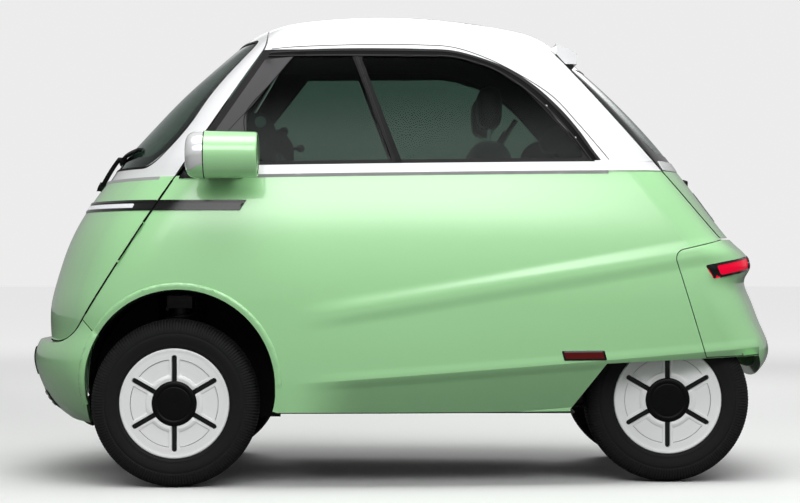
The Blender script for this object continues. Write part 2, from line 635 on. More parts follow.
# %% [markdown]
# Trim that lies on the skin. Each sheet is drawn flat in one view, and every point is then dropped onto the
# solid part below, as a ray from that side would meet it. A shrinkwrap modifier could do this too, but a ray
# never slides along the skin, so the drawn outline stays true. Two of the views are rolled out round the nose
# and the tail, where a flat view would stretch.

# %% Views and search trees


def tree_of(*parts):
    """A search tree over solid parts, each a name, or a name and how far to go in under its skin, in mm."""
    points, faces, under = [], [], []
    for part in parts:
        name, depth = part if isinstance(part, tuple) else (part, 0.0)
        mesh, base = nodes[name].data, len(points)
        points += [v.co.copy() for v in mesh.vertices]
        for polygon in mesh.polygons:
            faces.append([base + k for k in polygon.vertices])
            under.append(depth)
    return BVHTree.FromPolygons(points, faces), under


# How far out a ray starts, the radius of the rolled-out views and how far from the middle of the car they are
# centred, in mm.
FAR, AROUND, CENTRE = 3000, 750.0, 300
SIGHTS = {
    "left": lambda u, v: (Vector((u, FAR, v)) * MM, Vector((0, -1, 0))),
    "front": lambda u, v: (Vector((FAR, u, v)) * MM, Vector((-1, 0, 0))),
    "back": lambda u, v: (Vector((-FAR, u, v)) * MM, Vector((1, 0, 0))),
    "top": lambda u, v: (Vector((u, v, FAR)) * MM, Vector((0, 0, -1))),
    "around": lambda u, v: (
        Vector((CENTRE + FAR * math.cos(u / AROUND), FAR * math.sin(u / AROUND), v)) * MM,
        Vector((-math.cos(u / AROUND), -math.sin(u / AROUND), 0)),
    ),
    "tail": lambda u, v: (
        Vector((-CENTRE - FAR * math.cos(u / AROUND), FAR * math.sin(u / AROUND), v)) * MM,
        Vector((math.cos(u / AROUND), -math.sin(u / AROUND), 0)),
    ),
}
print("views:", list(SIGHTS))

# %% [markdown]
# The flat sheet. A bare outline could bend only along its rim, so an even grid of points is set inside it
# first, and all the points are joined into triangles of about one size. A hole is one more outline.

# %% Flat sheets with an even grid


def inside(point, loops):
    """Whether a flat point lies inside the outlines, holes taken out."""
    hits, (x, y) = False, point
    for loop in loops:
        for k in range(len(loop)):
            (x1, y1), (x2, y2) = loop[k - 1][:2], loop[k][:2]
            if (y1 > y) != (y2 > y) and x < (x2 - x1) * (y - y1) / (y2 - y1) + x1:
                hits = not hits
    return hits


def flat_cover(loops, grid):
    """Triangles over flat outlines, with an even grid of points inside them."""
    flat, edges = [], []
    for loop in loops:
        base, count = len(flat), len(loop)
        flat += [Vector(p[:2]) for p in loop]
        edges += [(base + k, base + (k + 1) % count) for k in range(count)]
    rim = [tuple(p) for p in flat]
    low = [min(p[k] for p in rim) for k in (0, 1)]
    high = [max(p[k] for p in rim) for k in (0, 1)]
    cells = {}
    for p in rim:
        cells.setdefault((int(p[0] // grid), int(p[1] // grid)), []).append(p)
    row, v = 0, low[1] + grid / 2
    while v < high[1]:
        u = low[0] + (grid / 2 if row % 2 else grid)
        while u < high[0]:
            i, j = int(u // grid), int(v // grid)
            close = any(
                math.dist(p, (u, v)) < grid * 0.5
                for a in (-1, 0, 1) for b in (-1, 0, 1) for p in cells.get((i + a, j + b), ())
            )
            if not close and inside((u, v), loops):
                flat.append(Vector((u, v)))
            u += grid
        v += grid * 0.866
        row += 1
    points, _, faces, *_ = delaunay_2d_cdt(flat, edges, [], 0, 1e-4)
    kept = [f for f in faces if inside([sum(points[k][c] for k in f) / 3 for c in (0, 1)], loops)]
    return points, kept


print("flat sheets can be drawn")

# %% [markdown]
# The sheet on the skin. The flat points are dropped, and a point that misses the skin, or falls through a gap
# far behind its neighbours, takes its distance from the points around it. A second layer under the first
# gives the sheet its thickness.

# %% Thin sheets on the skin
# How far behind its neighbours a point has fallen through a gap, in metres.
STRAY = 0.009


def skin_patch(name, loops, sight, onto, proud, depth, material, body="body", grid=14.0, both=True,
               smooth=40):
    """A sheet depth mm thick; its face stands proud mm (a number or a function of u, v) over the skin."""
    flat, faces = loops if isinstance(loops, tuple) else flat_cover(loops, grid)
    tree, under = onto
    ground, aims, missed = [], [], []
    for u, v in flat:
        start, aim = SIGHTS[sight](u, v)
        hit, normal, index, far = tree.ray_cast(start, aim)
        ground.append(hit - aim * under[index] * MM if hit else None)
        aims.append((start, aim, far))
        if not hit:
            missed.append(len(ground) - 1)
    reach = sum(a[2] for a in aims if a[2]) / max(1, sum(1 for a in aims if a[2]))
    near = {}
    for f in faces:
        for a, b in ((f[0], f[1]), (f[1], f[2]), (f[2], f[0])):
            near.setdefault(a, []).append(b)
            near.setdefault(b, []).append(a)
    for k, around in near.items() if sight in ("left", "around", "tail") else ():
        known = sorted(aims[n][2] for n in around if aims[n][2])
        if known and aims[k][2] and aims[k][2] - known[len(known) // 2] > STRAY:
            ground[k], aims[k] = None, (aims[k][0], aims[k][1], None)
            missed.append(k)
    for _ in range(8):
        for k in [k for k in missed if ground[k] is None]:
            known = [aims[n][2] for n in near.get(k, ()) if aims[n][2]]
            if known:
                start, aim, _ = aims[k]
                far = sum(known) / len(known)
                aims[k] = (start, aim, far)
                ground[k] = start + aim * far
    for k in missed:
        if ground[k] is None:
            ground[k] = aims[k][0] + aims[k][1] * reach
    lean = [Vector() for _ in ground]
    for a, b, c in faces:
        normal = (ground[b] - ground[a]).cross(ground[c] - ground[a])
        if normal.dot(aims[a][1]) > 0:
            normal = -normal
        for k in (a, b, c):
            lean[k] += normal
    top, low = [], []
    for k, (u, v) in enumerate(flat):
        normal = lean[k].normalized() if lean[k].length > 0 else -aims[k][1]
        stand = proud(u, v) if callable(proud) else proud
        top.append(ground[k] + normal * stand * MM)
        low.append(ground[k] + normal * (stand - depth) * MM)
    count = len(top)
    solid = [tuple(f) for f in faces] + [tuple(k + count for k in reversed(f)) for f in faces]
    used = {}
    for f in faces:
        for a, b in ((f[0], f[1]), (f[1], f[2]), (f[2], f[0])):
            used[(a, b)] = used.get((a, b), 0) + 1
    for a, b in used:
        if (b, a) not in used:
            solid.append((b, a, a + count, b + count))
    points = top + low
    if both:
        base = len(points)
        points += [Vector((p.x, -p.y, p.z)) for p in points]
        solid += [tuple(base + k for k in reversed(f)) for f in solid]
    return piece(name, points, solid, material, body, smooth=smooth)


print("thin sheets can be laid")

# %% [markdown]
# Bars and blocks. Round bars follow a line of points, and their radius may change along the way. Blocks get
# their rounded edges from a bevel modifier, since a real moulding never ends in a sharp corner.

# %% Bars and blocks


def tube(name, lines, radius, material, body="body", sides=8):
    """Round bars along lines of points in mm; each line is a list of (x, y, z)."""
    points, faces = [], []
    for line in lines:
        ahead = [Vector(p) * MM for p in line]
        base = len(points)
        up = Vector((0, 0, 1))
        for k, here in enumerate(ahead):
            way = (ahead[min(k + 1, len(ahead) - 1)] - ahead[max(k - 1, 0)]).normalized()
            side = way.cross(up if abs(way.z) < 0.95 else Vector((1, 0, 0))).normalized()
            rise = side.cross(way)
            size = radius(k / max(1, len(ahead) - 1)) if callable(radius) else radius
            for j in range(sides):
                turn = 2 * math.pi * j / sides
                points.append(here + (side * math.cos(turn) + rise * math.sin(turn)) * size * MM)
        for k in range(len(ahead) - 1):
            for j in range(sides):
                a, b = base + k * sides + j, base + k * sides + (j + 1) % sides
                faces.append((a, b, b + sides, a + sides))
        faces.append(tuple(base + j for j in range(sides)))
        faces.append(tuple(base + (len(ahead) - 1) * sides + j for j in reversed(range(sides))))
    return piece(name, points, faces, material, body)


def slab(name, boxes, material, body="body", bevel=4.0, cuts=2):
    """Blocks with rounded edges, each from (x0, x1, y0, y1, z0, z1) in mm."""
    points, faces = [], []
    for x0, x1, y0, y1, z0, z1 in boxes:
        base = len(points)
        for z in (z0, z1):
            points += [Vector(p) * MM for p in ((x0, y0, z), (x1, y0, z), (x1, y1, z), (x0, y1, z))]
        for f in ((0, 3, 2, 1), (4, 5, 6, 7), (0, 1, 5, 4), (1, 2, 6, 5), (2, 3, 7, 6), (3, 0, 4, 7)):
            faces.append(tuple(base + k for k in f))
    made = piece(name, points, faces, material, body)
    soft = made.modifiers.new("rounded edges", "BEVEL")
    soft.width, soft.segments, soft.limit_method = bevel * MM, cuts, "ANGLE"


print("bars and blocks are ready")

# %% [markdown]
# The wheels. Each has a pressed white cover: an outer rolled edge, six spokes flush with it, a shallow sunk
# panel between each pair, and a dark slot cut along each spoke. The cover is made as a dish of rings and
# columns. The columns near a spoke keep an even distance from its middle line, so the slot's sides stay
# straight, and a height is worked out for every point.

# %% The four corners and the shape of a cover
CORNERS = {
    "front_left": (0.716, 0.605, 0.265, 0), "front_right": (0.716, -0.605, 0.265, 180),
    "rear_left": (-0.852, 0.428, 0.265, 0), "rear_right": (-0.852, -0.428, 0.265, 180),
}


def at_corner(points, corner):
    """Local wheel points (Y outward) moved to that corner of the car."""
    x, y, z, turn = CORNERS[corner]
    move = Matrix.Translation((x, y, z)) @ Matrix.Rotation(math.radians(turn), 4, "Z")
    return [move @ Vector(p) for p in points]


def smooth_step(value, low, high):
    """0 below low, 1 above high, and an even S-shaped rise between them."""
    t = min(1.0, max(0.0, (value - low) / (high - low)))
    return t * t * (3 - 2 * t)


def cover_height(radius, off):
    """How far out the cover stands off mm beside a spoke's middle line, and whether that is in a slot."""
    high = 67.6 - 1.6 * smooth_step(radius, 150, 92)
    high += 1.6 * math.exp(-(((radius - 168) / 5.0) ** 2))
    high -= 7.5 * smooth_step(radius, 170.5, 176.3)
    high += 2.2 * math.exp(-(((radius - 80) / 5.5) ** 2)) * smooth_step(off, 9, 14)
    edge = min(off - 15.0, 139.5 - radius, radius - 88.0)
    high -= 2.6 * smooth_step(edge, 0.0, 3.0)
    groove = abs(139.5 - radius - 1.4)
    if off > 17.5 and groove < 1.5:
        high -= 4.0 * (1 - smooth_step(groove, 0.5, 1.5))
    slot = math.hypot(off, max(0.0, radius - 144.0)) - 8.0
    high -= 11.5 * smooth_step(-slot, -0.5, 0.9)
    return high, slot < -0.3 or (off > 17.5 and groove < 0.8)


RINGS = [56, 62, 70, 72.5, 75, 77.5, 80, 82.5, 85, 87.5, 88.5, 89.5, 91, 96, 104, 112, 120, 128, 134, 136.4,
         137.2, 138.0, 138.8, 139.5, 140.5, 142.5, 144.5, 146.5, 148.5, 150, 151, 151.8, 152.5, 154, 158, 162,
         165, 167, 169, 171, 173, 175, 176.3]
OFFSETS = [0, 4, 6.6, 7.3, 8.0, 8.6, 10, 12.5, 14.6, 15.4, 16.6, 17.8, 19.5]
SPOKES, HALF_PITCH = 6, 30
print("cover points:", len(RINGS), "rings", 2 * SPOKES * (len(OFFSETS) + 3), "columns")

# %% [markdown]
# The cover as a mesh. The faces inside a slot take a second material, so the slot looks cut through without a
# hole in the cover. Behind it, the rim is the dark barrel that the tyre sits on; it is one rolled section,
# spun.

# %% Wheel covers and rims


def build_cover(corner):
    """The cover's face, its dark slots and the rim barrel behind it."""
    columns = []
    for spoke in range(SPOKES):
        for sign in (-1, 1):
            rest = [(off, None) for off in OFFSETS] + [(None, t) for t in (0.25, 0.5, 0.75)]
            row = [(spoke, sign, off, t) for off, t in rest]
            columns += row[::-1] if sign < 0 else row[1:]
        columns.append((spoke, 1, None, 1.0))
    points, faces, marks, dark = [], [], [], []
    for spoke, sign, off, t in columns:
        for radius in RINGS:
            limit = math.degrees(math.asin(min(0.999, OFFSETS[-1] / radius)))
            if off is None:
                turn = limit + (HALF_PITCH - limit) * t
            else:
                turn = math.degrees(math.asin(min(0.999, off / radius)))
            beside = radius * math.sin(math.radians(turn))
            high, in_slot = cover_height(radius, beside)
            angle = math.radians(90 + 2 * HALF_PITCH * spoke + sign * turn)
            points.append(Vector((radius * math.cos(angle), high, radius * math.sin(angle))) * MM)
            dark.append(in_slot)
    rows = len(RINGS)
    for k in range(len(columns)):
        one, two = k * rows, (k + 1) % len(columns) * rows
        for j in range(rows - 1):
            face = (one + j, one + j + 1, two + j + 1, two + j)
            faces.append(face)
            marks.append(1 if sum(dark[q] for q in face) >= 3 else 0)
    barrel = rounded([(176.3, 60), (172, 55), (160, 52), (152, 40), (150, -30), (158, -44), (176, -58),
                      (176, -64), (168, -64), (150, -50), (140, -34), (140, 40), (60, 44), (60, 50),
                      (150, 52), (172, 57)], 3, 3)
    more, ring_faces = spun(barrel, 72)
    base = len(points)
    points += more
    faces += [tuple(base + k for k in f) for f in ring_faces]
    marks += [0] * len(ring_faces)
    piece("cover_" + corner, at_corner(points, corner), faces, "wheel_white", "road_wheel_" + corner,
          ("wheel_" + corner,), marks, smooth=42, other=("gloss_black",))


for corner in CORNERS:
    build_cover(corner)
print("covers made:", len(CORNERS))

# %% [markdown]
# Hub caps and wheel nuts. The black cap covers the hub and is a shallow dish with a rolled edge, so it too is
# one section, spun. Four nuts hold the wheel; they sit on the hub behind the cap, which hides them.

# %% Hub caps and wheel nuts
CAP = rounded([(0, 56.5), (72, 56.5), (72, 65), (69, 69.2), (62, 71), (57, 71), (53.5, 68.6), (51.5, 68.6),
               (50, 69.6), (0, 70.4)], 2.0, 4)
for corner in CORNERS:
    points, faces = spun([(max(r, 0.05), y) for r, y in CAP], 96, closed=False)
    piece("cap_" + corner, at_corner(points, corner), faces, "cap_black", "road_wheel_" + corner,
          ("hub_cap_" + corner,), smooth=35)
    bolts_at = [(math.cos(math.radians(a)), math.sin(math.radians(a))) for a in range(45, 360, 90)]
    points, faces = [], []
    for c, s in bolts_at:
        more, ring_faces = spun([(0.05, -66), (9, -66), (9, -56), (8, -54), (0.05, -54)], 6, closed=False)
        base = len(points)
        points += [p + Vector((c * 50, 110, s * 50)) * MM for p in more]
        faces += [tuple(base + k for k in f) for f in ring_faces]
    piece("wheel_nuts_" + corner, at_corner(points, corner), faces, "brake_iron", "road_wheel_" + corner)
print("caps and nuts made; points in a cap's section:", len(CAP))

# %% [markdown]
# The tyres. A tyre's shape is one section spun round, but its tread is cut: three grooves run round it, and
# well over a hundred narrow cuts cross each shoulder and show as a fringe from the side. One pitch of the
# tread is drawn as four columns, two of them sunk, and repeated all the way round.

# %% Tyres with grooves, cut shoulders and ribbed sidewalls
SECTION = [
    # radius, along, how deep the shoulder cuts go there
    (165.0, 60.0, 0), (170.0, 64.5, 0), (176.0, 66.0, 0), (180.0, 68.6, 0), (183.0, 69.6, 0),
    (186.0, 69.2, 0), (192.0, 70.4, 0), (200.0, 71.6, 0), (210.0, 72.3, 0), (217.0, 72.2, 0),
    (219.0, 71.2, 0), (221.0, 71.0, 0), (223.0, 71.8, 0.6), (228.0, 71.2, 1.9), (234.0, 70.0, 2.2),
    (240.0, 68.2, 2.4), (246.0, 65.6, 2.6), (251.0, 62.4, 2.8), (255.5, 58.4, 3.0), (259.0, 53.6, 3.4),
    (261.6, 48.0, 3.8), (263.2, 42.0, 3.8), (263.8, 36.0, 2.4), (264.0, 31.5, 0), (257.5, 30.5, 0),
    (257.5, 25.0, 0), (264.3, 24.0, 0), (264.8, 16.0, 1.6), (265.0, 6.0, 1.6), (264.9, 3.6, 0),
    (258.0, 2.8, 0),
]
SECTION = SECTION + [(r, -y, cut) for r, y, cut in SECTION[::-1]]
# Each column of a pitch: where it lies, as a share of the pitch, and whether it is sunk. The cuts lean a
# little across the tread.
PITCHES, COLUMNS, SLANT = 168, ((0.0, 0), (0.60, 0), (0.68, 1), (0.90, 1)), -0.005


def build_tyre(corner):
    """One tyre, its section repeated for every column of every pitch; returns its count of triangles."""
    points, faces, count = [], [], len(SECTION)
    for pitch in range(PITCHES):
        for at, sunk in COLUMNS:
            for radius, along, cut in SECTION:
                angle = 2 * math.pi * (pitch + at + SLANT * along) / PITCHES
                low = radius - cut * sunk
                inward = 0.35 * cut * sunk * (1 if along > 0 else -1)
                points.append(Vector((low * math.cos(angle), along - inward, low * math.sin(angle))) * MM)
    columns = PITCHES * len(COLUMNS)
    for k in range(columns):
        one, two = k * count, (k + 1) % columns * count
        for j in range(count):
            nxt = (j + 1) % count
            faces.append((one + j, one + nxt, two + nxt, two + j))
    piece("dressed_tyre_" + corner, at_corner(points, corner), faces, "tyre_rubber", "road_wheel_" + corner,
          ("tyre_" + corner,), smooth=38)
    return len(faces) * 2


print("tyre triangles:", sum(build_tyre(corner) for corner in CORNERS))

# %% [markdown]
# The side windows. On the car one dark glass strip runs from the front pillar to the tail: a printed black
# border hides its glue, a bar divides it, a grey rubber seal frames it, and a lighter grey cover fills the
# corner behind the windscreen pillar. The solid model has the glass and its black frame; the seals, the bar
# and the cover are drawn in the side view here and laid on the skin.

# %% Skins and flat strips
GLASS_SKIN = tree_of(("window_frames", 1.0), ("side_glass", 2.0), "roof_shell", "windscreen_frame",
                     "hatch_frame", "spoiler", ("windscreen", 2.0), ("rear_glass", 2.0))
BODY_SKIN = tree_of("side_panels", "door_panel", "hatch_panel", "front_bumper", "rear_bumper",
                    ("side_strips", -1.5), ("light_bar", -1.5), ("red_lamps", 1.0))
WHOLE_SKIN = tree_of(("window_frames", 1.0), ("side_glass", 2.0), "roof_shell", "windscreen_frame",
                     "side_panels", "door_panel", ("belt_moulding", -3.0))


def even(line, count):
    """The line as that many points, evenly spaced along it."""
    reach = [0.0]
    for a, b in zip(line, line[1:]):
        reach.append(reach[-1] + math.dist(a, b))
    out, k = [], 0
    for n in range(count):
        want = reach[-1] * n / (count - 1)
        while k < len(line) - 2 and reach[k + 1] < want:
            k += 1
        t = (want - reach[k]) / max(1e-9, reach[k + 1] - reach[k])
        out.append(tuple(p + (q - p) * min(1, t) for p, q in zip(line[k], line[k + 1])))
    return out


def strip(left, right, across):
    """Points and faces of a flat strip between two lines with the same number of points."""
    flat, faces, row = [], [], across + 1
    for p, q in zip(left, right):
        flat += [(p[0] + (q[0] - p[0]) * k / across, p[1] + (q[1] - p[1]) * k / across) for k in range(row)]
    for j in range(len(left) - 1):
        for k in range(across):
            a, b = j * row + k, (j + 1) * row + k
            faces += [(a, a + 1, b + 1), (a, b + 1, b)]
    return flat, faces


def between(outer, inner, a, b, count=170, across=2):
    """A flat strip between two smooth lines, from share a to share b of the way across."""
    one, two = even(curve_through(outer), count), even(curve_through(inner), count)
    low = [tuple(p + (q - p) * a for p, q in zip(s, t)) for s, t in zip(one, two)]
    high = [tuple(p + (q - p) * b for p, q in zip(s, t)) for s, t in zip(one, two)]
    return strip(low, high, across)


def stripe(line, width, step=7.0):
    """A flat strip that follows a smooth line."""
    dense, left, right = curve_through(line, step), [], []
    for k, p in enumerate(dense):
        a, b = dense[max(0, k - 1)], dense[min(len(dense) - 1, k + 1)]
        length = max(1e-9, math.dist(a, b))
        side = (-(b[1] - a[1]) / length * width / 2, (b[0] - a[0]) / length * width / 2)
        left.append((p[0] + side[0], p[1] + side[1]))
        right.append((p[0] - side[0], p[1] - side[1]))
    return strip(left, right, 1)


print("skins for glass, body and both:", len(GLASS_SKIN[1]), len(BODY_SKIN[1]), len(WHOLE_SKIN[1]), "faces")

# %% [markdown]
# The lines of the side windows, seen from the side. The drip line runs under the roof's edge; the seal is the
# room between an outer and an inner line; the shut line is where the front door ends.

# %% Lines of the side windows
DRIP = [(419, 1392), (328, 1399), (200, 1404), (72, 1407), (-56, 1406), (-163, 1399), (-270, 1364),
        (-376, 1310), (-481, 1240), (-560, 1154), (-628, 1074), (-660, 1035)]
SEAL_OUT = [(425, 1381), (328, 1388), (200, 1392), (72, 1393), (-56, 1392), (-163, 1387), (-269, 1358),
            (-349, 1323), (-429, 1269), (-507, 1196), (-565, 1127), (-606, 1068), (-632, 1034)]
SEAL_IN = [(428, 1366), (347, 1367), (200, 1368), (72, 1368), (-56, 1368), (-163, 1365), (-269, 1336),
           (-349, 1293), (-428, 1231), (-506, 1153), (-558, 1089), (-600, 1032)]
SHUT = [(436, 1392), (441, 1371), (447, 1355), (461, 1332), (523, 1238), (589, 1138), (654, 1039), (700, 969)]
print("points on the seal's lines:", len(SEAL_OUT), len(SEAL_IN))

# %% [markdown]
# Seals, divider and pillar cover. The rubber seal has a raised grey edge on both sides of a dark groove, so
# it is laid as three sheets of different heights. The pillar cover ends just short of the door, and thin dark
# lines mark its joints.

# %% Seals, divider and pillar cover
skin_patch("drip_line", stripe(DRIP, 2.4), "left", GLASS_SKIN, 0.35, 1.2, "seal_rubber", grid=12)
skin_patch("window_seal", between(SEAL_OUT, SEAL_IN, -0.02, 0.30), "left", GLASS_SKIN, 2.0, 4.5,
           "pillar_grey")
skin_patch("seal_groove", between(SEAL_OUT, SEAL_IN, 0.28, 0.97), "left", GLASS_SKIN, 0.7, 3.5, "seal_rubber")
skin_patch("seal_bead", between(SEAL_OUT, SEAL_IN, 0.86, 1.02), "left", GLASS_SKIN, 3.8, 5.0, "pillar_grey")
BELT_TOP, ROOF_EDGE, DOOR_GAP = 1013, 1366, 7
pillar = [(347, 1365), (496, 1182), (491, BELT_TOP), (676, BELT_TOP)]
foot = [(x - DOOR_GAP, z) for x, z in curve_through(SHUT, 20)[::-1] if BELT_TOP < z < ROOF_EDGE]
skin_patch("pillar_cover", [straight(pillar + foot)], "left", GLASS_SKIN, 1.4, 3.0, "pillar_cover", grid=16)
skin_patch("pillar_line", stripe([(497, 1183), (549, 1125), (583, 1084), (612, 1040), (626, 1015)], 1.8),
           "left", GLASS_SKIN, 1.7, 1.5, "seal_rubber", grid=12)
skin_patch("pillar_edge", stripe([(491, 1014), (496, 1100), (496, 1182), (420, 1276), (347, 1366)], 2.6),
           "left", GLASS_SKIN, 1.9, 2.5, "seal_rubber", grid=12)
skin_patch("divider", [straight([(-2, 1014), (28, 1014), (153, 1367), (134, 1367)])], "left", GLASS_SKIN, 2.6,
           5.0, "black_trim", grid=12)
for offset in (0.0, 6.0):
    bead = [(x - offset, z) for x, z in ((25, 1015), (27.5, 1015), (151.5, 1366), (149, 1366))]
    skin_patch("divider_bead_%d" % offset, [straight(bead)], "left", GLASS_SKIN, 3.3, 1.5, "pillar_grey",
               grid=12)
print("side windows dressed")

# %% [markdown]
# The bright belt. The solid part is the white moulding's face. Under it the real moulding turns in towards
# the body, which shows as a shaded grey band, and in front of it a black foot carries the lamp and mirror
# pod.

# %% Belt lip and pod foot


def belt(x, down=0.0):
    """Height of the belt's lower edge at x, in mm."""
    return 976.0 + 0.0145 * (960.0 - x) - down


def lip_height(u, v):
    """How far the lip stands out: it turns in towards its lower edge."""
    return 0.5 + 2.3 * smooth_step(v - belt(u, 9.0), 0, 9.5)


lip = [(497, belt(497, -1.5)), (-655, belt(-655, -1.5)), (-655, belt(-655, 9.0)), (497, belt(497, 9.0))]
skin_patch("belt_lip", [straight(lip, 12)], "left", BODY_SKIN, lip_height, 4.0, "belt_shade", grid=16)
foot_low = [(502, 972), (502, 1016), (676, 1016), (690, 992), (704, 972)]
skin_patch("pod_foot", [straight(rounded(foot_low, 3))], "left", WHOLE_SKIN, 3.2, 16.0, "black_trim", grid=12)
print("belt lip and pod foot laid; belt at the tail", round(belt(-655), 1), "mm")

# %% [markdown]
# The pods. On each side one round pod holds the headlamp in front and the mirror behind. Barrel, lens and
# mirror are lathe work: three profiles along the pod's own line, spun and set on both sides. A ring of dark
# rubber closes each joint, and a green chin runs under the lens.

# %% Lamp and mirror pods
POD_X, POD_Y, POD_Z = 447.0, 782.0, 1041.0
BARREL = [(5, 0.05), (5, 61), (2, 62), (0, 64), (1, 67), (6, 69.6), (16, 70.8), (60, 71.8), (120, 72.6),
          (160, 73.2), (163, 73.0), (164.5, 71.5), (166.0, 71.5)]
LENS = [(165, 70.5), (167, 72.8), (178, 73.2), (190, 72.4), (202, 69.5), (211, 64), (217.5, 56), (221.5, 46),
        (224, 30), (225, 14), (225.3, 0.05)]
for name, line, material, hidden in (
    ("pod_barrels", BARREL, "painted_green", ("mirror_pods",)),
    ("pod_lenses", LENS, "clear_lens", ("headlamps",)),
    ("pod_mirrors", [(4.2, 0.05), (4.4, 50), (5.2, 60.5), (7, 60.8)], "mirror", ("mirror_glass",)),
):
    points, faces = spun([(r, along) for along, r in curve_through(line, 3.0)], 72, closed=False)
    count = len(points)
    turned = [Vector((p.y + POD_X * MM, p.x, p.z + POD_Z * MM)) for p in points]
    both = [p + Vector((0, POD_Y * MM, 0)) for p in turned] + [p - Vector((0, POD_Y * MM, 0)) for p in turned]
    piece(name, both, faces + [tuple(count + k for k in f) for f in faces], material, "body", hidden,
          smooth=40)


def pod_ring(name, along, radius, half, material):
    """A round bar of that half thickness about both pods."""
    turns = [math.radians(a - 90) for a in range(0, 361, 6)]
    lines = []
    for side in (1, -1):
        lines.append([(POD_X + along, side * POD_Y + radius * math.cos(t), POD_Z + radius * math.sin(t))
                      for t in turns])
    tube(name, lines, half, material)


pod_ring("pod_seams", 164.5, 72.2, 1.5, "seal_rubber")
pod_ring("mirror_bezels", 2.5, 62.5, 1.8, "black_trim")
CHIN = ((166, 74.2), (180, 74.4), (194, 73.2), (206, 69.0), (213, 64.0), (216, 60.5), (212, 62.0),
        (196, 70.8))
STEPS = 20
points, faces = [], []
for side in (1, -1):
    base = len(points)
    for along, radius in CHIN:
        reach = 62 - 24 * smooth_step(along, 176, 216)
        for k in range(STEPS + 1):
            t = math.radians(-90 + reach * (2 * k / STEPS - 1))
            across, up = side * POD_Y + radius * math.cos(t), POD_Z + radius * math.sin(t)
            points.append(Vector((POD_X + along, across, up)) * MM)
    for j in range(len(CHIN) - 1):
        for k in range(STEPS):
            a, b = base + j * (STEPS + 1) + k, base + (j + 1) * (STEPS + 1) + k
            faces.append((a, a + 1, b + 1, b))
piece("pod_chins", points, faces, "painted_green", smooth=50)
slab("pod_arms", [(524, 612, 652, 735, 974, 1004), (524, 612, -735, -652, 974, 1004)], "black_trim", bevel=8,
     cuts=3)
print("pods made at y = +-", POD_Y, "mm")

# %% [markdown]
# The dark strip. It runs round the nose and back along each side, with a white light bar in its front part
# and raised black edges above and below it. The part on the front door is drawn round the nose and moves with
# the door; the rest is drawn from the side.

# %% Strip and light bar


def ring_u(x, y):
    """Where a point of the nose lies on the unrolled strip, in mm."""
    return AROUND * math.atan2(y, x - CENTRE)


def shut_x(z, gap):
    """The front door's shut line at a height, moved back by gap, in mm."""
    return 440 + (1404 - z) * 0.6576 - gap


for name, low, high in (("strip_top", 896.5, 903.0), ("strip_bottom", 871.0, 877.0)):
    end = [490 + (903 - z) * 0.6 for z in (low, high)]
    outline = [(shut_x(low, 8), low), (shut_x(high, 8), high), (end[1], high), (end[0], low)]
    skin_patch(name, [straight(outline)], "left", BODY_SKIN, 3.4, 6.0, "gloss_black", grid=14)
    u_low, u_high = ring_u(shut_x(low, 0), 655), ring_u(shut_x(high, 0), 657)
    outline = [(-u_low, low), (-u_high, high), (u_high, high), (u_low, low)]
    skin_patch(name + "_door", [straight(outline)], "around", BODY_SKIN, 3.4, 6.0, "gloss_black",
               "front_door", 14, False)
skin_patch("strip_end", [straight([(488, 903), (495, 903), (515, 871), (508, 871)], 4)], "left", BODY_SKIN,
           3.4, 6.0, "gloss_black")
bar_line = rounded([(-634, 879), (-634, 892), (634, 892), (634, 879)], 4)
skin_patch("light_bar_glow", [straight(bar_line)], "around", BODY_SKIN, 2.8, 4.0, "light_strip", "front_door",
           14, False, smooth=50)
print("strip ends", [round(shut_x(z, 8)) for z in (871, 903)], "mm from the middle; light bar laid")

# %% [markdown]
# Lamps and the door's shut line. The tail lamps and the side markers sit in dark surrounds, each a flat
# outline with the lens cut out of it. A thin dark sheet covers the back of the gap between the front door and
# the flank.

# %% Lamp surrounds, markers and shut line
lamp_line = [(-965, 698, 8), (-993, 655, 8), (-1138, 681.5), (-1138, 727.5)]
lens_line = [(-1003, 697, 7), (-1017, 666.5, 9), (-1132, 687.2), (-1132, 720)]
skin_patch("lamp_surrounds", [straight(rounded(lamp_line, 1), 6), straight(rounded(lens_line, 1), 5)], "left",
           BODY_SKIN, 1.6, 6.0, "gloss_black", grid=10)
marker_line = [(-645, 399, 3), (-509, 399, 3), (-501, 429, 3), (-637, 429, 3)]
marker_lens = [(-638, 404, 2), (-514, 404, 2), (-508, 424, 2), (-632, 424, 2)]
skin_patch("marker_rims", [straight(rounded(marker_line, 1), 6), straight(rounded(marker_lens, 1), 5)],
           "left", BODY_SKIN, 1.2, 4.0, "gloss_black", grid=10)
skin_patch("marker_lenses", [straight(rounded(marker_lens, 1), 5)], "left", BODY_SKIN, 0.5, 3.0, "marker_red",
           grid=10)
shut = [(shut_x(z, 6.8), z) for z in range(966, 520, -30)]
skin_patch("shut_line", [straight(shut + [(x + 6.2, z) for x, z in shut[::-1]], 10)], "left", BODY_SKIN, 1.3,
           4.0, "seal_rubber", grid=8)
print("surrounds and markers laid; shut line in", len(shut), "steps")

# %% [markdown]
# The flares and the belt on the door. A low rolled flare runs round each front wheel opening: a small step up
# from the panel, then a slope that turns in towards the wheel. Under the white belt a shaded lip runs on
# across the front door.

# %% Wheel arch flares and the belt's lip on the door
ARCH_X, ARCH_Z, ARCH_OUT, ARCH_IN, STEP_SHARE = 700, 321, 324, 304.5, 0.14
arch = []
for radius, turns in ((ARCH_OUT, range(-12, 196, 3)), (ARCH_IN, range(195, -13, -3))):
    for turn in (math.radians(a) for a in turns):
        arch.append((ARCH_X + radius * math.cos(turn), ARCH_Z + radius * math.sin(turn)))
arch = [p for p in arch if p[1] > 252 or p[0] < 560]


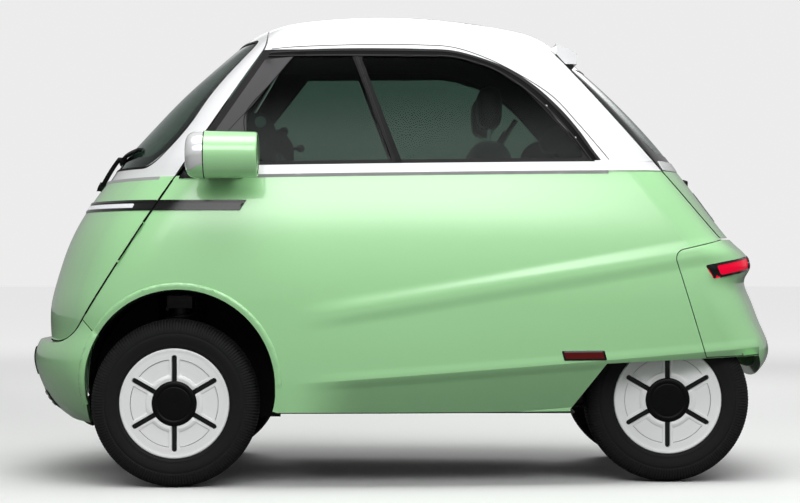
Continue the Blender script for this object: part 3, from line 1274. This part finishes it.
def flare_height(u, v):
    """The flare's section: a small step up from the panel, then a slope that turns in towards the wheel."""
    inward = 1.0 - (math.hypot(u - ARCH_X, v - ARCH_Z) - ARCH_IN) / (ARCH_OUT - ARCH_IN)
    along = math.degrees(math.atan2(v - ARCH_Z, u - ARCH_X))
    full = 1.0 - smooth_step(-along, -5, 12) if along < 90 else 1.0
    slope = 1 - max(0.0, inward - STEP_SHARE) / (1 - STEP_SHARE)
    return 0.3 + 5.2 * full * smooth_step(inward, 0, STEP_SHARE) * slope


def door_belt(u, down):
    """Height of the belt's lower edge on the view rolled out round the nose, in mm."""
    return belt(CENTRE + 700 * math.cos(u / AROUND), down)


def door_lip_height(u, v):
    """The lip's section on the door, turned in towards its lower edge as on the side."""
    return 0.4 + 2.6 * smooth_step(v - door_belt(u, 9.5), 0, 9)


skin_patch("arch_flares", [straight(arch, 6)], "left", BODY_SKIN, flare_height, 4.0, "painted_green", grid=8,
           smooth=60)
upper = [(u, door_belt(u, -0.3)) for u in (-690 + 1380 * k / 40 for k in range(41))]
door_lip = [(u, z - 2.2) for u, z in upper] + [(u, z - 10.5) for u, z in upper[::-1]]
skin_patch("belt_lip_door", [straight(door_lip, 12)], "around", BODY_SKIN, door_lip_height, 3.0, "belt_shade",
           "front_door", 16, False)
print("flares laid from", len(arch), "points; belt lip on the door from", len(upper))

# %% [markdown]
# The screens. Windscreen and tailgate glass each have a printed black border behind the pane and a rubber
# seal round it. Their widths are those usual on such cars.

# %% Screens, their borders and seals
FRONT_PANES, REAR_PANES = tree_of(("windscreen", 2.0)), tree_of(("rear_glass", 2.0))
SCREEN_SKIN = tree_of("windscreen_frame", "roof_shell", ("windscreen", 2.0))
BEHIND_PANE, SCREEN_MIDDLE, HATCH_MIDDLE = -8.3, 1220, 1198


def mirrored(half, size, cuts):
    """A rounded outline from its right half, given from the bottom up as (y, z, own radius)."""
    return rounded(half + [(-y, z, own) for y, z, own in half[::-1]], size, cuts)


def scaled(rows, middle, wide, tall):
    """An outline grown or shrunk about its middle height."""
    return [(y * wide, middle + (z - middle) * tall) for y, z in rows]


screen = mirrored([(528, 1012, 70), (543, 1130, 150), (400, 1428, 50)], 50, 10)
screen_in = mirrored([(478, 1052, 60), (494, 1130, 150), (372, 1396, 40)], 50, 10)
hatch = mirrored([(420, 1058, 60), (395, 1338, 60)], 50, 10)
hatch_in = mirrored([(378, 1092, 50), (356, 1308, 50)], 50, 10)
border = [straight(scaled(screen, SCREEN_MIDDLE, 0.994, 0.988), 20), straight(screen_in, 20)]
skin_patch("windscreen_border", border, "front", FRONT_PANES, BEHIND_PANE, 0.6, "frit_black", "front_door",
           30, False)
border = [straight(scaled(hatch, HATCH_MIDDLE, 0.992, 0.985), 20), straight(hatch_in, 20)]
skin_patch("rear_border", border, "back", REAR_PANES, BEHIND_PANE, 0.6, "frit_black", "tailgate", 30, False)
seal_sizes = ((1.012, 1.02), (0.992, 0.985))
seal = [straight(scaled(screen, SCREEN_MIDDLE, wide, tall), 12) for wide, tall in seal_sizes]
skin_patch("windscreen_seal", seal, "front", SCREEN_SKIN, 0.6, 2.0, "seal_rubber", "front_door", 14, False)
print("screens dressed")

# %% [markdown]
# The tailgate's frame and belt. The frame round the rear window is one black surround, so its solid part only
# needs another finish. The white belt runs on across the tailgate as a thin sheet, drawn on the view that is
# rolled out round the tail.

# %% Tailgate frame and belt
nodes["hatch_frame"].data.materials.clear()
nodes["hatch_frame"].data.materials.append(finish["gloss_black"])
TAIL_SKIN = tree_of("hatch_panel", "hatch_frame", ("rear_glass", 2.0))
belt_line = [(-515, 1005), (-515, 1034), (515, 1034), (515, 1005)]
skin_patch("belt_on_tailgate", [straight(belt_line, 12)], "tail", TAIL_SKIN,
           lambda u, v: 0.6 + 2.4 * smooth_step(v, 1004, 1013), 4.0, "painted_white", "tailgate", 14, False)
print("tailgate belt made,", belt_line[2][0] * 2, "mm round the tail")

# %% [markdown]
# What a side view hides is kept plain: a handle and a bare plate on the tailgate, a third brake lamp under
# the roof lip, and a low air intake with slats in the front bumper. All of them are plain rounded shapes laid
# on the skin.

# %% Tailgate and bumper details
HATCH_SKIN = tree_of("hatch_panel", "hatch_frame", "spoiler", ("rear_glass", 2.0))
BUMPER_SKIN = tree_of("front_bumper", "front_lip")


def plate(half, low, high, radius):
    """A rounded rectangle about the middle of the car, from its half width and two heights."""
    return [straight(rounded([(-half, low), (half, low), (half, high), (-half, high)], radius))]


def handle_height(u, v):
    """The handle's section: it rises towards its upper edge and turns in again there."""
    return 2.0 + 12.0 * smooth_step(v, 958, 972) * (1 - smooth_step(v, 972, 982) * 0.6)


for name, outline, proud, depth, material, grid, smooth in (
    ("plate_recess", plate(175, 842, 938, 12), 1.6, 3.0, "black_trim", 20, 40),
    ("plate_blank", plate(158, 850, 930, 5), 3.0, 1.6, "lamp_white", 20, 40),
    ("hatch_handle", plate(70, 958, 982, 10), handle_height, 14.0, "black_trim", 8, 60),
    ("third_lamp", plate(110, 1366, 1384, 6), 2.2, 4.0, "red_lens", 12, 40),
):
    skin_patch(name, outline, "back", HATCH_SKIN, proud, depth, material, "tailgate", grid, False, smooth)
INTAKE = [(-300, 226, 14), (300, 226, 14), (280, 282, 18), (-280, 282, 18)]
skin_patch("air_intake", [straight(rounded(INTAKE, 10))], "front", BUMPER_SKIN, 1.2, 3.0, "black_trim",
           "body", 16, False)
for k, z in enumerate((238, 254, 270)):
    skin_patch("intake_slat_%d" % k, plate(280, z - 3, z + 3, 2.5), "front", BUMPER_SKIN, 5.0, 5.0,
               "gloss_black", "body", 14, False)
skin_patch("front_plate_blank", plate(150, 330, 420, 6), "front", BUMPER_SKIN, 4.0, 4.0, "black_trim", "body",
           20, False)
print("tailgate and bumper details made")

# %% [markdown]
# The cloth sunroof. The cover is held tight at its rim and lies over three bows, so it bulges at each bow and
# dips a little between them. Cloth this tight keeps the shape that its bows give it, so a height drawn on the
# roof is truer here than a simulation, which would need the same bows to rest on. It is declared as one
# sheet, with the size it was cut to.

# %% Sunroof cover and rim
ROOF_TOP = tree_of(("folding_roof", -1.0), "roof_shell", "windscreen_frame", "spoiler")
ROOF_BACK, ROOF_FRONT, ROOF_HALF, BOWS = -288, 334, 378, (-150, 23, 190)


def roof_cloth_height(u, v):
    """The cloth lies over three bows and sags a little between them, and is held flat at its edges."""
    edge = min(u - ROOF_BACK, ROOF_FRONT - u, ROOF_HALF - abs(v))
    bow = max(math.exp(-(((u - x) / 11.0) ** 2)) for x in BOWS)
    return 1.2 + smooth_step(edge, 2, 40) * (1.6 + 3.4 * bow - 1.4 * abs(math.sin(u * 0.045)) * 0.5)


def roof_outline(grow, radius):
    """The sunroof's opening, grown by that many mm on all sides."""
    back, front, half = ROOF_BACK - grow, ROOF_FRONT + grow, ROOF_HALF + grow
    return straight(rounded([(back, -half), (front, -half), (front, half), (back, half)], radius, 8), 12)


cover_cloth = skin_patch("sunroof_cloth", [roof_outline(0, 58)], "top", ROOF_TOP, roof_cloth_height, 2.5,
                         "roof_cloth", "body", 11, False, 60)
rim_lines = [roof_outline(11, 66), roof_outline(-4, 54)]
skin_patch("sunroof_rim", rim_lines, "top", ROOF_TOP, 2.2, 4.0, "seal_rubber", "body", 16, False)
print("sunroof cover laid:", ROOF_FRONT - ROOF_BACK, "by", 2 * ROOF_HALF, "mm over", len(BOWS), "bows")

# %% [markdown]
# Inside. The panels of the solid model are painted all through, but on the car their inner faces carry dark
# lining and trim. Each lining is the panel's own inward faces, copied and moved a little way into the cabin,
# so its openings match exactly.

# %% Linings on the inner faces
LINING_SHIFT = 1.6


def lining(name, part, material, body="body", low=0.24):
    """The inward faces of a solid part above a height in metres, moved a little into the cabin."""
    mesh = nodes[part].data
    keep, used = [], {}
    for polygon in mesh.polygons:
        c = polygon.center
        core = Vector((min(0.45, max(-0.60, c.x)), 0.0, min(1.05, max(0.45, c.z))))
        way = core - c
        if c.z > low and polygon.normal.dot(way) > 0.42 * way.length:
            keep.append(tuple(polygon.vertices))
            for k in polygon.vertices:
                used[k] = used.get(k, Vector()) + polygon.normal
    order = {k: n for n, k in enumerate(used)}
    points = [mesh.vertices[k].co + used[k].normalized() * LINING_SHIFT * MM for k in used]
    piece(name, points, [tuple(order[k] for k in f) for f in keep], material, body, smooth=60)


lining("roof_lining", "roof_shell", "headliner")
lining("flank_lining", "side_panels", "black_trim", low=0.30)
lining("belt_lining", "belt_moulding", "black_trim")
lining("sunroof_lining", "folding_roof", "headliner")
lining("door_lining", "door_panel", "dark_grey_trim", "front_door")
lining("pillar_lining", "windscreen_frame", "black_trim", "front_door")
lining("tailgate_lining", "hatch_panel", "carpet", "tailgate")
lining("hatch_frame_lining", "hatch_frame", "black_trim", "tailgate")
slab("cabin_carpet", [(-50, 380, -585, 585, 236.5, 243)], "carpet", bevel=2)
slab("boot_carpet", [(-1085, -565, -250, 250, 486.5, 492)], "carpet", bevel=2)
print("linings and carpets laid")

# %% [markdown]
# The bench. Foam under a woven cover swells most in the middle of each panel and is held in at its seams.
# Each part starts as a slightly small rounded block, is covered with an even skin, and is blown up as cloth
# with a little air inside. How far a point may move is capped, so that the bench stays in the room the solid
# model keeps for it. The sewn lines are pressed in afterwards, because a seam is finer than the even skin.

# %% Foam blocks and their covers
CLOTH_FRAMES = 20


def rounded_block(name, size, radius):
    """A block with round edges, its size given as (x0, x1, y0, y1, z0, z1) in mm."""
    mesh = bpy.data.meshes.new(name)
    shape = bmesh.new()
    bmesh.ops.create_cube(shape, size=1.0)
    for v in shape.verts:
        at = [(c + 0.5) * (high - low) + low for c, low, high in zip(v.co, size[::2], size[1::2])]
        v.co = Vector(at) * MM
    bmesh.ops.bevel(shape, geom=shape.edges[:], offset=radius * MM, segments=5, profile=0.5, affect="EDGES")
    shape.to_mesh(mesh)
    shape.free()
    made = bpy.data.objects.new(name, mesh)
    bpy.context.scene.collection.objects.link(made)
    return made


def settle(made, voxel, pressure, cap):
    """Covers the block evenly, blows it up as cloth and keeps each point within cap mm of its start."""
    skin = made.modifiers.new("even skin", "REMESH")
    skin.mode, skin.voxel_size = "VOXEL", voxel * MM
    bpy.context.view_layer.update()
    evened = bpy.data.meshes.new_from_object(made.evaluated_get(bpy.context.evaluated_depsgraph_get()))
    made.modifiers.clear()
    made.data = evened
    cloth = made.modifiers.new("cloth", "CLOTH")
    cloth.settings.quality = 2
    cloth.settings.use_pressure = True
    cloth.settings.uniform_pressure_force = pressure
    cloth.settings.effector_weights.gravity = 0
    cloth.settings.tension_stiffness = cloth.settings.compression_stiffness = 6
    cloth.collision_settings.use_self_collision = False
    cloth.point_cache.frame_start, cloth.point_cache.frame_end = 1, CLOTH_FRAMES
    scene = bpy.context.scene
    for frame_no in range(1, CLOTH_FRAMES + 1):
        scene.frame_set(frame_no)
    blown = made.evaluated_get(bpy.context.evaluated_depsgraph_get())
    moved = [v.co.copy() for v in blown.data.vertices]
    for v, new in zip(made.data.vertices, moved):
        step = new - v.co
        v.co += step * min(1.0, cap * MM / max(1e-9, step.length))
    made.modifiers.remove(cloth)
    scene.frame_set(1)


def press_seams(made, pinch):
    """Moves each point by pinch(x, y, z) mm along its inward normal."""
    normals = [v.normal.copy() for v in made.data.vertices]
    for v, normal in zip(made.data.vertices, normals):
        v.co -= normal * pinch(*(v.co / MM)) * MM


def dress(made, material, body, hidden=()):
    """Finish, body and declaration of a padded piece."""
    made.data.materials.clear()
    made.data.materials.append(finish[material])
    made.data.polygons.foreach_set("use_smooth", [True] * len(made.data.polygons))
    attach(made, body)
    if hidden:
        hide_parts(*hidden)


print("foam blocks can be covered;", CLOTH_FRAMES, "frames of cloth each")

# %% [markdown]
# The seams. A sewn line pulls the cover down to the foam, so in section it is a narrow soft notch. The
# cushion and the back each have a deep split in the middle, a line beside each side roll and channels across
# each seat.

# %% Sewn lines


def notch(value, at, width):
    """A soft notch: 1 at its middle, close to 0 beyond about twice its width."""
    return math.exp(-(((value - at) / width) ** 2))


def bench_seams(x, y, z):
    """Sewn lines: a deep split in the middle, a line inside each side roll, and channels across each seat."""
    deep = 16 * notch(y, 0, 9)
    deep += sum(6 * notch(abs(y), at, 5) for at in (85, 455))
    if 95 < abs(y) < 445:
        deep += sum(4.5 * notch(x, at, 5) for at in (-120, -30, 60))
    return deep - 3.5 * notch(abs(y), 500, 30)


def back_seams(x, y, z):
    """The same for the back, with channels at even heights."""
    deep = 16 * notch(y, 0, 9)
    deep += sum(6 * notch(abs(y), at, 5) for at in (85, 420))
    if 95 < abs(y) < 410:
        deep += sum(4.5 * notch(z, at, 5) for at in (690, 800, 910, 1020))
    return deep


print("depth of the cushion's split:", round(bench_seams(0, 0, 0), 1), "mm")

# %% [markdown]
# The bench itself, then the headrests on their stalks. The back leans, so its block is turned about its
# middle before it is blown up.

# %% Seat cushion, back and headrests, blown up as cloth
VOXEL, REST_VOXEL, PRESSURE, ROOM, REST_ROOM = 6, 5, 4.0, 12, 8
cushion = rounded_block("bench_cushion", (-316, 155, -532, 532, 479, 549), 30)
settle(cushion, VOXEL, PRESSURE, ROOM)
press_seams(cushion, bench_seams)
dress(cushion, "seat_cloth", "body", ("seat_cushion",))
back = rounded_block("bench_back", (-62, 62, -488, 488, 571, 1101), 38)
lean = math.atan2(25, 555)
back_place = Matrix.Translation((-0.2725, 0, 0.838)) @ Matrix.Rotation(-lean, 4, "Y")
back.data.transform(back_place @ Matrix.Translation((0, 0, -0.838)))
settle(back, VOXEL, PRESSURE, ROOM)
press_seams(back, back_seams)
dress(back, "seat_cloth", "body", ("seat_back",))
for name, y in (("left", 270), ("right", -270)):
    rest = rounded_block("headrest_" + name, (-325, -248, y - 88, y + 88, 1145, 1284), 32)
    settle(rest, REST_VOXEL, PRESSURE, REST_ROOM)
    press_seams(rest, lambda x, y, z: 3.0 * notch(x, -270, 4))
    dress(rest, "seat_vinyl", "body", ("headrests",) if y > 0 else ())
stalks = [[(-288, y + d, 1080), (-287, y + d, 1165)] for y in (270, -270) for d in (-40, 40)]
tube("headrest_stalks", stalks, 6.0, "chrome", sides=16)
guides = [[(-318, y, 1085), (-338, y, 1120), (-370, y, 1170)] for y in (385, -385, 345, -345)]
tube("belt_guides", guides, 8.0, "black_trim", sides=12)
print("bench and headrests made; points on the cushion:", len(cushion.data.vertices))

# %% [markdown]
# The steering wheel. Its rim is padded vinyl, round in section and spun, the hub is lathe work too, and three
# spokes that narrow in the middle join them. Everything is drawn about the column's own line and then placed
# along it.

# %% Steering wheel
WHEEL_AT, WHEEL_WAY = Vector((330, 270, 905)), Vector((-0.88, 0, 0.475)).normalized()
WHEEL_U = Vector((0, 1, 0))
WHEEL_V = WHEEL_WAY.cross(WHEEL_U)


def on_wheel(points):
    """Local points, Y along the column, placed on the steering wheel."""
    return [(WHEEL_AT + (WHEEL_U * p[0] + WHEEL_WAY * p[1] + WHEEL_V * p[2]) * 1000) * MM for p in points]


GRIP_TURNS = [2 * math.pi * k / 24 for k in range(24)]
grip = [(170 + 13.5 * math.cos(turn), 12.5 * math.sin(turn)) for turn in GRIP_TURNS]
points, faces = spun(grip, 96)
piece("steering_rim", on_wheel(points), faces, "seat_vinyl", "steering_hand_wheel", ("steering_wheel",))
points, faces = spun([(0.05, 8), (30, 7), (46, 3), (52, -6), (50, -18), (38, -27), (0.05, -27)], 48,
                     closed=False)
piece("steering_hub", on_wheel(points), faces, "black_trim", "steering_hand_wheel")
for number, angle in enumerate((90, 210, 330)):
    turn = math.radians(angle)
    rows = []
    for reach, half, high in ((40, 22, 2), (80, 17, 0), (120, 14, -2), (160, 17, 0), (168, 20, 2)):
        rows.append([(reach, -half, high - 5), (reach, half, high - 5), (reach, half - 3, high + 5),
                     (reach, -half + 3, high + 5)])
    points, faces = [], []
    c, s = math.cos(turn), math.sin(turn)
    for reach, side, high in (corner for row in rows for corner in row):
        points.append(Vector((reach * c - side * s, high, reach * s + side * c)) * MM)
    for j in range(len(rows) - 1):
        for k in range(4):
            faces.append((j * 4 + k, j * 4 + (k + 1) % 4, (j + 1) * 4 + (k + 1) % 4, (j + 1) * 4 + k))
    piece("steering_spoke_%d" % number, on_wheel(points), faces, "dark_grey_trim", "steering_hand_wheel")
print("steering wheel at", tuple(WHEEL_AT))

# %% [markdown]
# The front door carries a padded bar where other cars have a dashboard, and a small display on it. The bar
# follows the door's inner face, which rays find, and its ends turn in to meet the door.

# %% Door bar, display, pedals and shelf
DOOR_TREE = tree_of("door_panel")[0]


def door_inner(y, z):
    """x of the front door's inner face at y, z, in mm."""
    hit = DOOR_TREE.ray_cast(Vector((300, y, z)) * MM, Vector((1, 0, 0)))[0]
    return hit.x / MM if hit else 900.0


BAR_HALF, BAR_Z, BAR_ROOM = 430, 800, 58
bar = []
for y in (-BAR_HALF + 2 * BAR_HALF * k / 20 for k in range(21)):
    end = 1 - smooth_step(BAR_HALF - abs(y), 0, 70)
    bar.append((door_inner(y * 0.97, BAR_Z) - BAR_ROOM * (1 - end) + 4 * end, y, BAR_Z))
tube("door_bar", [bar], 17.0, "dark_grey_trim", "front_door", 20)
x = door_inner(230, BAR_Z) - BAR_ROOM
slab("display", [(x - 26, x - 8, 150, 390, 800, 878)], "gloss_black", "front_door", bevel=5, cuts=3)
slab("display_arm", [(x - 14, x + 10, 255, 285, 790, 815)], "dark_grey_trim", "front_door", bevel=4)
pads = [(700, 712, y - 25, y + 25, 262, 330) for y in (215, 325)]
arms = [(706, 740, y - 8, y + 8, 236.5, 300) for y in (214, 324)]
slab("pedals", pads + arms, "steel_black", bevel=3)
slab("parcel_shelf", [(-545, -380, -430, 430, 640, 652)], "carpet", bevel=3)
print("display", round(x), "mm ahead of the middle")

# %% [markdown]
# Behind the side glass sit black corner panels with small speakers in front, larger ones at the tail, and a
# round latch for each opening window. They are laid on the inner side of the glass, so they stand just under
# its skin.

# %% Panels, speakers and latches behind the side glass


def skin_y(x, z):
    """Half width of the glasshouse skin at x, z, in mm."""
    hit = GLASS_SKIN[0].ray_cast(Vector((x, FAR, z)) * MM, Vector((0, -1, 0)))[0]
    return hit.y / MM if hit else 560.0


corner_panel = [(399, 1014), (402, 1138, 14), (432, 1182, 6), (491, 1186), (491, 1014)]
skin_patch("corner_panels", [straight(rounded(corner_panel, 1))], "left", GLASS_SKIN, -9.0, 3.0, "black_trim",
           grid=20)
disc = [(450 + 18.5 * math.cos(a * math.pi / 24), 1155 + 18.5 * math.sin(a * math.pi / 24))
        for a in range(48)]
skin_patch("small_speakers", [disc], "left", GLASS_SKIN, -7.6, 1.4, "speaker_grey", grid=8)
tail_panel = [(-434, 1098, 34), (-452, 1060, 30), (-496, 1058, 10), (-512, 1016, 4), (-604, 1016, 2),
              (-560, 1098, 2), (-505, 1150, 2), (-462, 1138, 26)]
skin_patch("rear_speakers", [straight(rounded(tail_panel, 1, 8), 6)], "left", GLASS_SKIN, -9.0, 26.0,
           "black_trim", grid=14)
latches = []
y = skin_y(395, 1122) - 17
for side in (1, -1):
    latches.append([(x, side * y, 1122) for x in (410, 396, 390, 385, 380, 374, 368, 364, 361)])
sizes = [6, 6, 7, 11, 13.5, 14, 13, 9, 2]
tube("window_latches", latches, lambda t: sizes[min(8, int(round(t * 8)))], "black_trim", sides=20)
print("latches at y = +-", round(y), "mm")

# %% [markdown]
# Running gear seen in the wheel openings: brake discs, dampers with their coil springs, and a dark backing in
# each front arch, so that no light shows through from the far side.

# %% Brakes and springs
DISC = [(40, 8), (40, 26), (62, 26), (62, 18), (104, 18), (104, 6), (62, 6), (62, 8)]
for corner in CORNERS:
    points, faces = spun(DISC, 48)
    piece("brake_disc_" + corner, at_corner(points, corner), faces, "brake_iron", "road_wheel_" + corner)
COIL_RADIUS, COIL_TURNS, COIL_STEPS = 44, 6.0, 120
coils, dampers = [], []
for side in (1, -1):
    for x, y, low, high in ((716, 452, 372, 556), (-852, 285, 330, 560)):
        coil = []
        for k in range(COIL_STEPS + 1):
            turn = 2 * math.pi * COIL_TURNS * k / COIL_STEPS
            across, up = side * y + COIL_RADIUS * math.sin(turn), low + (high - low) * k / COIL_STEPS
            coil.append((x + COIL_RADIUS * math.cos(turn), across, up))
        coils.append(coil)
    for x, y, mid, high in ((716, 452, 450, 558), (-852, 285, 440, 560)):
        dampers.append([(x, side * y, z) for z in (300, mid, mid + 2, high)])
tube("coil_springs", coils, 5.5, "spring_steel", sides=10)
tube("damper_sleeves", dampers, lambda t: 31 if t < 0.5 else 26, "steel_black", sides=24)
slab("arch_backs", [(545, 890, 299, 303, 240, 640), (545, 890, -303, -299, 240, 640)], "black_trim", bevel=1)
print("springs and dampers made:", len(coils), "and", len(dampers))
